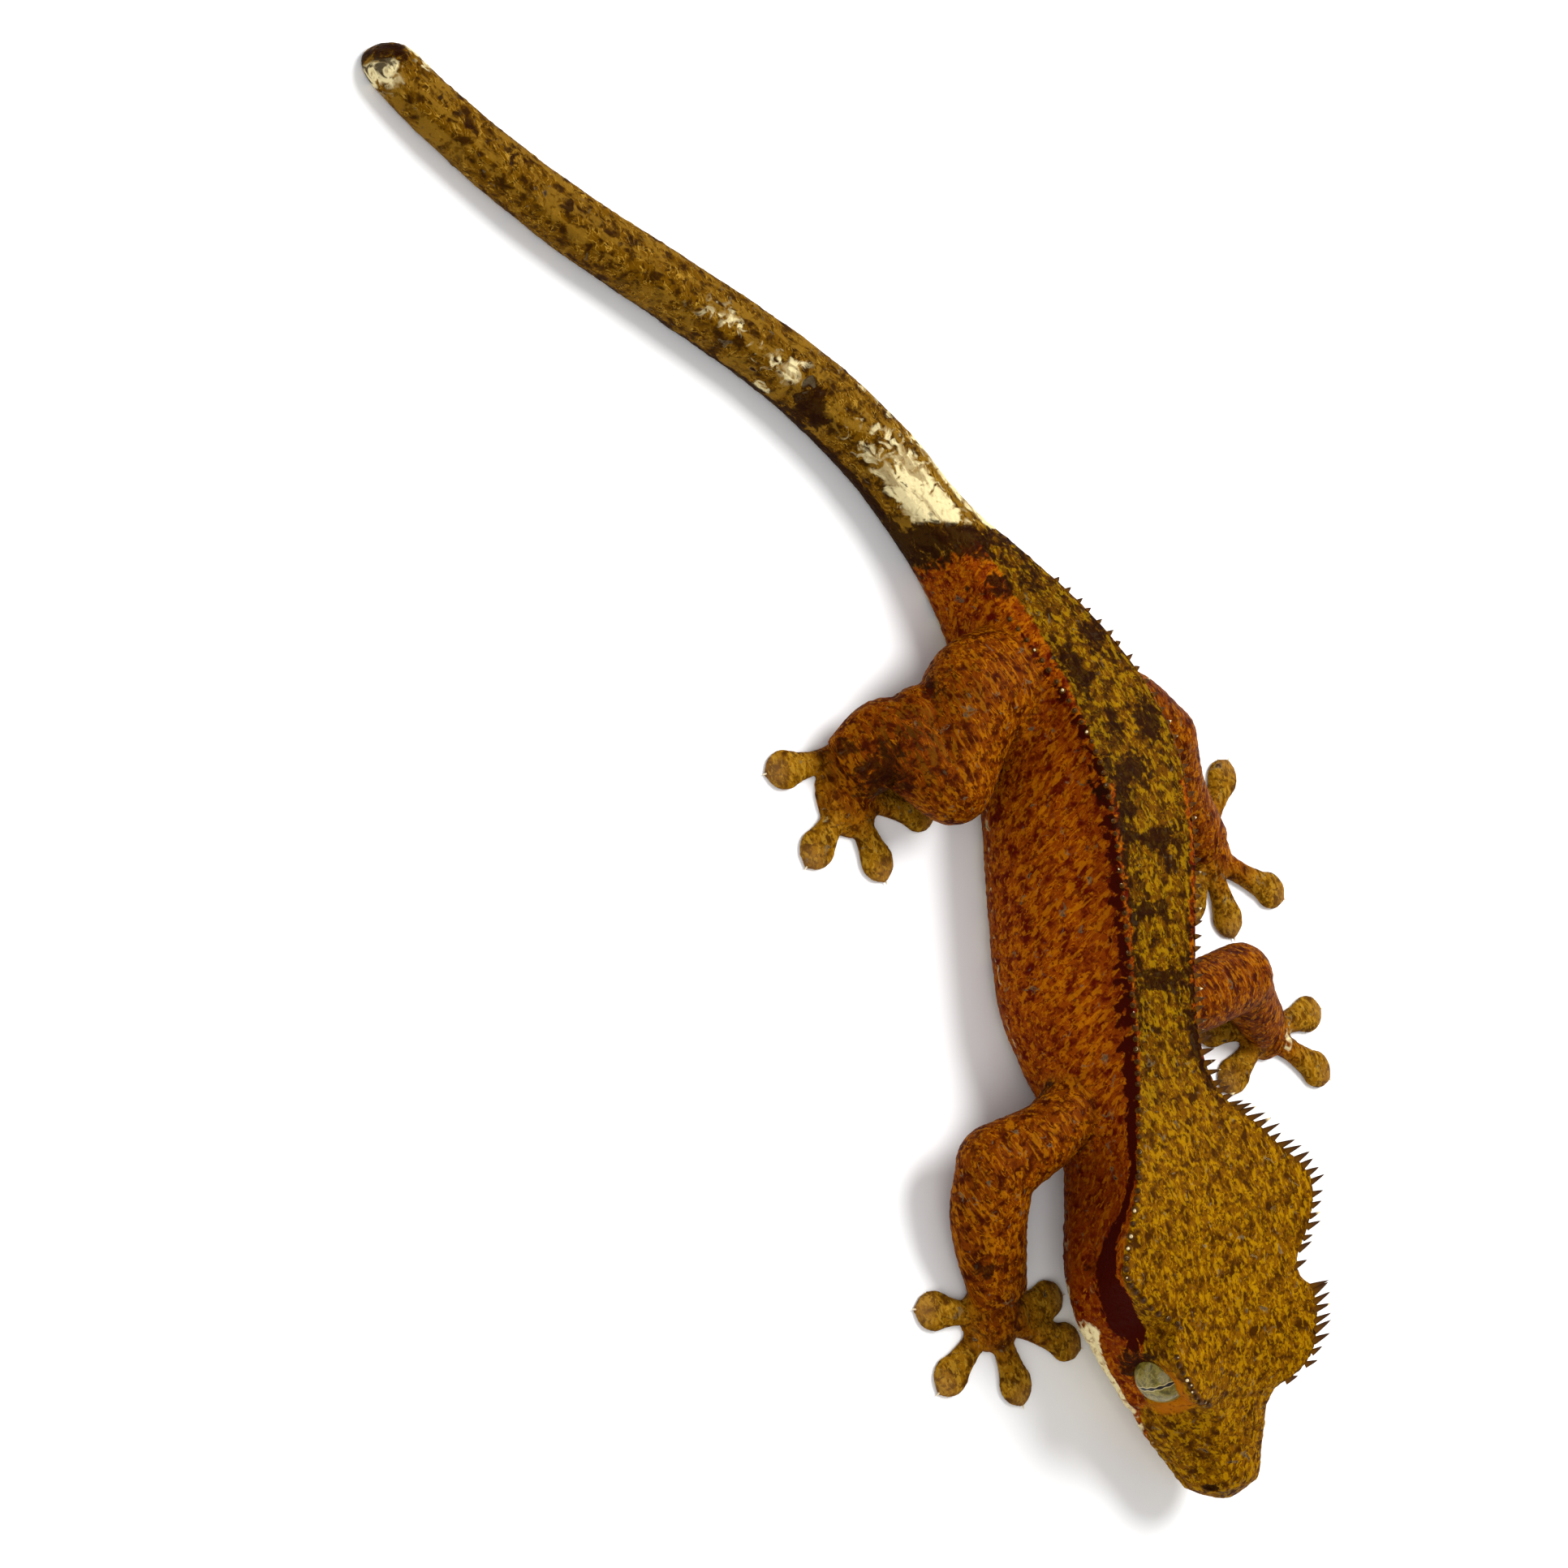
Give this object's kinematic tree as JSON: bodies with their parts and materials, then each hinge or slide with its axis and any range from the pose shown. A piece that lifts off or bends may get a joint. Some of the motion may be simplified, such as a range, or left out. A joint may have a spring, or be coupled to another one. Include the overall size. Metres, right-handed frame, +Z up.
{
  "type": "crested gecko",
  "caption": "Still life-size model of a crested gecko lying flat: wedge head with spined crests over its lidless eyes, splayed legs with broad toe pads, and a tail swept to one side.",
  "frame": {"origin": "centre of the bounding box in plan, on the floor that the animal lies on", "axes": "-Y towards the snout, +Y towards the tail tip, +X towards the animal's left, +Z up from the floor"},
  "size_m": [0.1066, 0.181, 0.0215],
  "materials": {
    "head_skin": "fine scaled skin, olive yellow with brown mottling, matte",
    "body_skin": "fine scaled skin, orange brown with dark speckle, matte",
    "tail_skin": "smooth scaled skin, brown and cream patches, slight sheen",
    "foot_skin": "soft olive brown toe pads, matte",
    "eyes": "wet glossy eye, grey khaki iris with a slit pupil"
  },
  "bodies": {
    "root": {"head": "head_skin", "neck": "body_skin", "torso_front": "body_skin", "torso_rear": "body_skin", "tail_base": "tail_skin", "tail_middle": "tail_skin", "tail_end": "tail_skin", "eye_left": "eyes", "eye_right": "eyes", "upper_arm_right": "body_skin", "forearm_right": "body_skin", "hand_right": "foot_skin", "upper_arm_left": "body_skin", "forearm_left": "body_skin", "hand_left": "foot_skin", "thigh_right": "body_skin", "shank_right": "body_skin", "foot_right": "foot_skin", "thigh_left": "body_skin", "shank_left": "body_skin", "foot_left": "foot_skin"}
  },
  "joints": []
}
